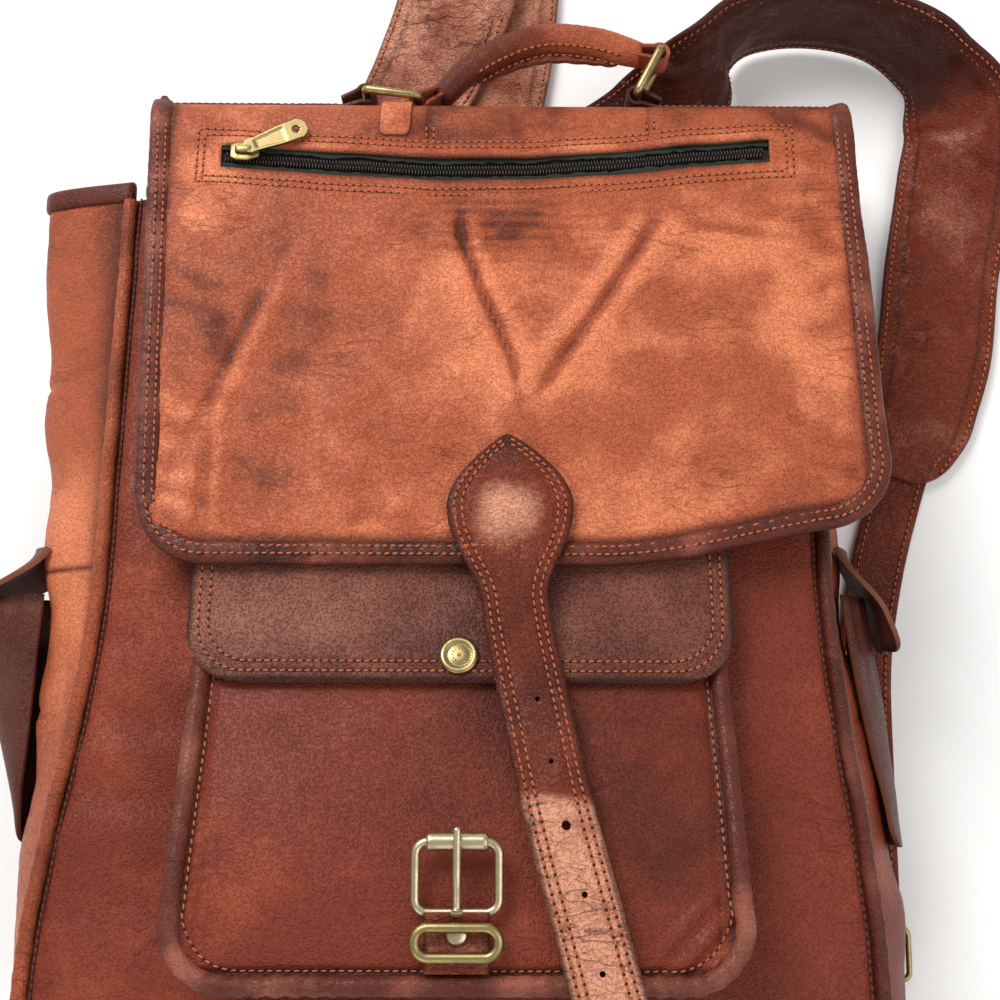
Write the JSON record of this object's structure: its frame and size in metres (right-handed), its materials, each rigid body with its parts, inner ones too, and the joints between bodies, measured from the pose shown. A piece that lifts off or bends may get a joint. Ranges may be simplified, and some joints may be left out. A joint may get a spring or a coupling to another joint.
{
  "type": "leather backpack",
  "caption": "Leather backpack lying on its back: buckled main flap with a zip, front pocket, side pockets, top handle and padded shoulder straps.",
  "frame": {"origin": "centre of the flat outer face of the back panel, which the bag lies on", "axes": "+Z out of the front, +Y toward the handle, +X to the right of the front as seen from above"},
  "size_m": [0.4715, 0.5811, 0.1344],
  "materials": {
    "tan_leather": "waxed, mottled",
    "red_leather": "waxed, mottled",
    "dark_leather": "waxed",
    "canvas": "woven",
    "foam": "open-cell",
    "board": "pressed board",
    "cord": "twisted cord",
    "zip_coil": "semi-gloss",
    "antique_brass": "antique, worn at the edges"
  },
  "bodies": {
    "bag": {"back_panel": "tan_leather", "back_foam": "foam", "left_gusset": "tan_leather", "right_gusset": "red_leather", "front_panel": "red_leather", "base_panel": "red_leather", "base_board": "board", "left_piping": "tan_leather", "right_piping": "dark_leather", "mouth_binding": "dark_leather", "top_band": "tan_leather", "lining": "canvas", "pocket_panel": "red_leather", "pocket_rim": "dark_leather", "pocket_wall": "red_leather", "snap_stud": "antique_brass", "buckle_chape": "red_leather", "chape_rivet": "antique_brass", "handle_tab_left": "dark_leather", "handle_tab_right": "dark_leather", "handle_tab_left_loop": "tan_leather", "handle_tab_right_loop": "tan_leather", "left_side_pocket": "dark_leather", "right_side_pocket": "dark_leather", "strap_anchor": "red_leather", "left_narrow_strap": "red_leather", "right_narrow_strap": "red_leather", "left_strap_buckle": "antique_brass", "right_strap_buckle": "antique_brass"},
    "flap": {"flap_panel": "tan_leather", "flap_lining": "canvas", "flap_binding": "dark_leather", "zip_tape": "canvas", "zip_teeth": "zip_coil", "zip_pouch": "canvas", "strap_leaf": "dark_leather"},
    "closing_strap": {"closing_strap": "red_leather"},
    "pocket_flap": {"pocket_flap": "dark_leather", "snap_cap": "antique_brass", "snap_socket": "antique_brass"},
    "zip_slider": {"zip_slider": "antique_brass"},
    "zip_puller": {"zip_puller": "antique_brass"},
    "buckle_frame": {"buckle_frame": "antique_brass"},
    "buckle_tongue": {"buckle_tongue": "antique_brass"},
    "buckle_roller": {"buckle_roller": "antique_brass"},
    "keeper_ring": {"keeper_ring": "antique_brass"},
    "ring_left": {"ring_left": "antique_brass"},
    "ring_right": {"ring_right": "antique_brass"},
    "handle": {"handle_grip": "tan_leather", "handle_core": "cord", "handle_loop_left": "tan_leather", "handle_loop_right": "tan_leather"},
    "left_side_flap": {"left_side_flap": "dark_leather"},
    "right_side_flap": {"right_side_flap": "dark_leather"},
    "left_shoulder_strap": {"left_shoulder_pad": "red_leather"},
    "right_shoulder_strap": {"right_shoulder_pad": "red_leather"},
    "left_strap_tongue": {"left_strap_tongue": "antique_brass"},
    "right_strap_tongue": {"right_strap_tongue": "antique_brass"}
  },
  "joints": [
    {"name": "flap_open", "type": "hinge", "parent": "bag", "child": "flap", "pos_m": [0, 0.193, 0.064], "axis": [-1, 0, 0], "range_deg": [0, 115]},
    {"name": "strap_lift", "type": "hinge", "parent": "flap", "child": "closing_strap", "pos_m": [0.0048, -0.0065, 0.10055], "axis": [-1, 0, 0], "range_deg": [0, 70]},
    {"name": "pocket_flap_open", "type": "hinge", "parent": "bag", "child": "pocket_flap", "pos_m": [-0.015, 0.009, 0.07839], "axis": [-1, 0, 0], "range_deg": [0, 60]},
    {"name": "zip_slide", "type": "slide", "parent": "flap", "child": "zip_slider", "axis": [1, 0, 0], "range_m": [0, 0.213]},
    {"name": "zip_puller_swing", "type": "hinge", "parent": "zip_slider", "child": "zip_puller", "pos_m": [-0.1095, 0.1745, 0.07558], "axis": [0.425, -0.893, 0.1481], "range_deg": [0, 110]},
    {"name": "buckle_swing", "type": "hinge", "parent": "bag", "child": "buckle_frame", "pos_m": [-0.015, -0.1365, 0.12736], "axis": [1, 0, 0], "range_deg": [0, 60]},
    {"name": "tongue_swing", "type": "hinge", "parent": "buckle_frame", "child": "buckle_tongue", "pos_m": [-0.015, -0.1365, 0.12736], "axis": [1, 0, 0], "range_deg": [0, 18]},
    {"name": "roller_spin", "type": "hinge", "parent": "buckle_frame", "child": "buckle_roller", "pos_m": [-0.015, -0.112, 0.12736], "axis": [1, 0, 0], "continuous": true},
    {"name": "keeper_swing", "type": "hinge", "parent": "bag", "child": "keeper_ring", "pos_m": [-0.015, -0.1412, 0.13128], "axis": [-1, 0, 0], "range_deg": [0, 10]},
    {"name": "ring_left_swing", "type": "hinge", "parent": "bag", "child": "ring_left", "pos_m": [-0.06, 0.2085, 0.053], "axis": [0, 0, 1], "range_deg": [0, 8]},
    {"name": "handle_swing", "type": "hinge", "parent": "ring_left", "child": "handle", "pos_m": [-0.036, 0.2055, 0.053], "axis": [0, 0, 1], "range_deg": [-10.5, 0]},
    {"name": "ring_right_swing", "type": "hinge", "parent": "bag", "child": "ring_right", "pos_m": [0.061, 0.2085, 0.053], "axis": [0, 0, 1], "range_deg": [-4, 0]},
    {"name": "left_side_flap_open", "type": "hinge", "parent": "bag", "child": "left_side_flap", "pos_m": [-0.188, 0.004, 0.048], "axis": [0, 0, -1], "range_deg": [0, 35]},
    {"name": "right_side_flap_open", "type": "hinge", "parent": "bag", "child": "right_side_flap", "pos_m": [0.149, 0.004, 0.048], "axis": [0, 0, 1], "range_deg": [0, 80]},
    {"name": "left_strap_lift", "type": "hinge", "parent": "bag", "child": "left_shoulder_strap", "pos_m": [-0.02, 0.2, 0.0045], "axis": [1, 0, 0], "range_deg": [0, 30]},
    {"name": "right_strap_swing", "type": "hinge", "parent": "bag", "child": "right_shoulder_strap", "pos_m": [0.036, 0.201, 0.005], "axis": [0, 0, 1], "range_deg": [0, 15]},
    {"name": "left_tongue_swing", "type": "hinge", "parent": "bag", "child": "left_strap_tongue", "pos_m": [-0.166, -0.178, 0.0059], "axis": [1, 0, 0], "range_deg": [0, 35]},
    {"name": "right_tongue_swing", "type": "hinge", "parent": "bag", "child": "right_strap_tongue", "pos_m": [0.166, -0.178, 0.0059], "axis": [1, 0, 0], "range_deg": [0, 35]}
  ],
  "couplings": [
    {"joint": "pocket_flap_open", "follows": "flap_open", "ratio": 0.5},
    {"joint": "handle_swing", "follows": "ring_left_swing", "ratio": -1.268},
    {"joint": "ring_right_swing", "follows": "ring_left_swing", "ratio": -0.455}
  ]
}
